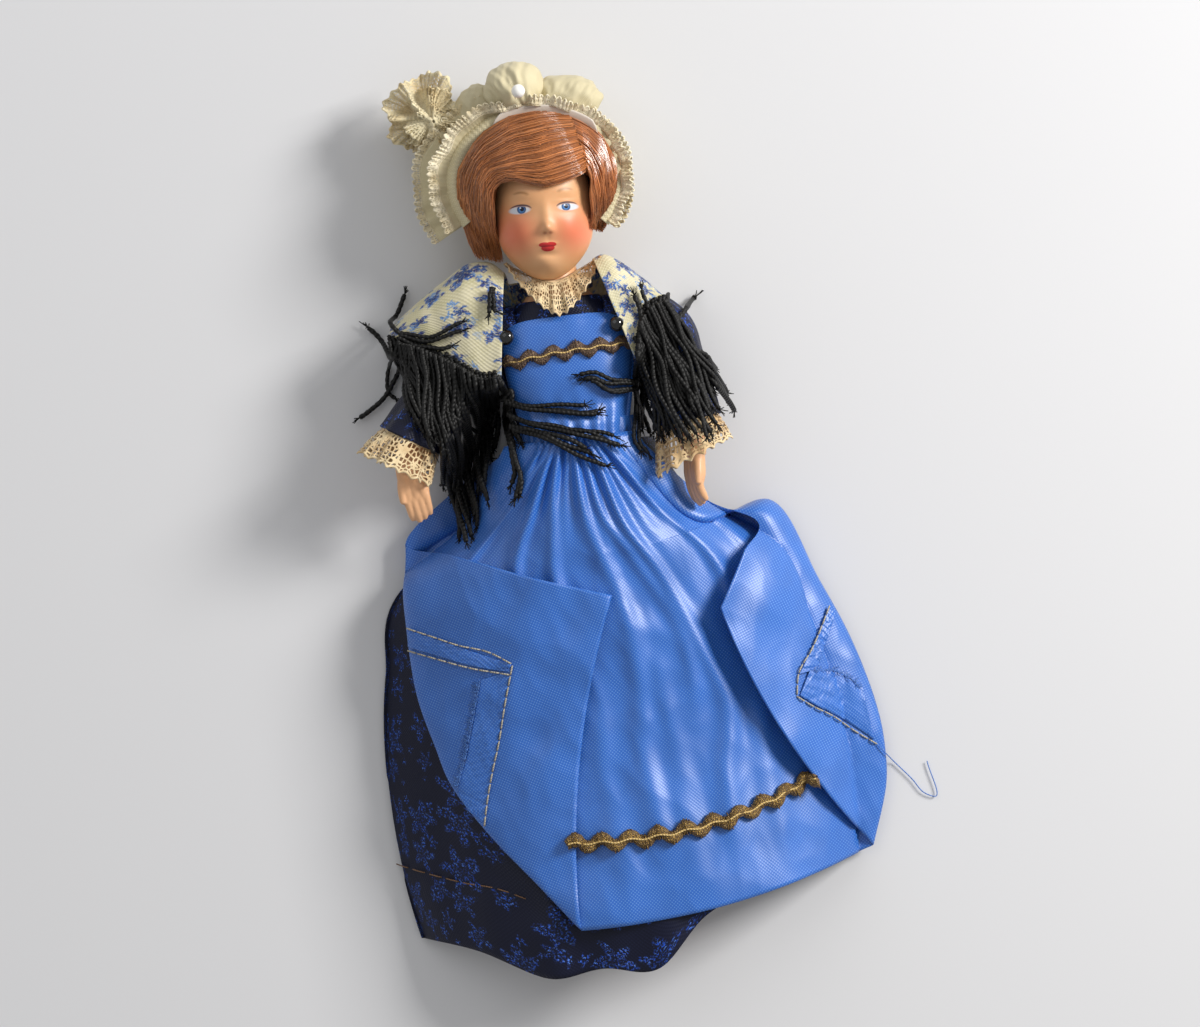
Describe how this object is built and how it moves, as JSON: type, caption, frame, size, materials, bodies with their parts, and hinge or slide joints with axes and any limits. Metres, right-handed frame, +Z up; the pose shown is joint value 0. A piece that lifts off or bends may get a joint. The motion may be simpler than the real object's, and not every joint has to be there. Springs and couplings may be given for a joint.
{
  "type": "costume doll",
  "caption": "Small celluloid doll in regional dress: lace bonnet, fringed shawl, blue apron with folded corners over a wide skirt; head and arms turn.",
  "frame": {"origin": "on the skirt's flat back, under the hips, level with the surface that the doll lies on", "axes": "+Y from the feet to the head, +X to the doll's own left, +Z up out of the face; the back lies on z = 0"},
  "size_m": [0.0955, 0.1761, 0.0248],
  "materials": {
    "celluloid": "painted celluloid, satin",
    "pressed_card": "pressed card",
    "elastic": "covered cord elastic",
    "mohair": "glossy auburn mohair",
    "organdy": "cream organdy",
    "lace": "cream cotton lace",
    "satin": "white satin ribbon",
    "pearl": "pearl bead",
    "brocade": "near-black brocade with blue motifs",
    "printed_cotton": "cream cotton, printed flowers",
    "silk_cord": "black twisted silk cord",
    "white_cotton": "plain cotton",
    "taffeta": "bright blue dotted taffeta",
    "metal_braid": "dull metal-thread braid",
    "black_glass": "glossy black glass bead"
  },
  "bodies": {
    "root": {"torso": "celluloid", "arm_elastic": "elastic", "head_elastic": "elastic", "bodice": "brocade", "collar": "lace", "shawl": "printed_cotton", "right_front_fringe": "silk_cord", "left_front_fringe": "silk_cord", "drawers": "white_cotton", "skirt": "brocade", "skirt_waistband": "brocade", "apron": "taffeta", "apron_waistband": "taffeta", "apron_bib": "taffeta", "bib_braid": "metal_braid", "hem_braid": "metal_braid", "right_bead_pin": "black_glass", "left_bead_pin": "black_glass"},
    "head": {"head": "celluloid", "neck_disc": "pressed_card", "wig": "mohair", "bonnet_crown": "organdy", "bonnet_inner_frill": "organdy", "bonnet_outer_frill": "organdy", "bonnet_inner_lace": "lace", "bonnet_outer_lace": "lace", "bonnet_band": "satin", "bonnet_rosette": "lace", "bonnet_pearl": "pearl"},
    "right_arm": {"right_arm": "celluloid", "right_sleeve": "brocade", "right_cuff": "lace", "right_fringe": "silk_cord"},
    "left_arm": {"left_arm": "celluloid", "left_sleeve": "brocade", "left_cuff": "lace", "left_fringe": "silk_cord"}
  },
  "joints": [
    {"name": "neck_turn", "type": "hinge", "parent": "root", "child": "head", "pos_m": [0, 0.041, 0.0098], "axis": [0, 1, 0], "range_deg": [-75, 75]},
    {"name": "right_shoulder", "type": "hinge", "parent": "root", "child": "right_arm", "pos_m": [-0.01425, 0.033, 0.0098], "axis": [-1, 0, 0], "range_deg": [0, 110], "deforming": ["shawl"]},
    {"name": "left_shoulder", "type": "hinge", "parent": "root", "child": "left_arm", "pos_m": [0.01425, 0.033, 0.0098], "axis": [-1, 0, 0], "range_deg": [0, 110], "deforming": ["shawl"]}
  ]
}
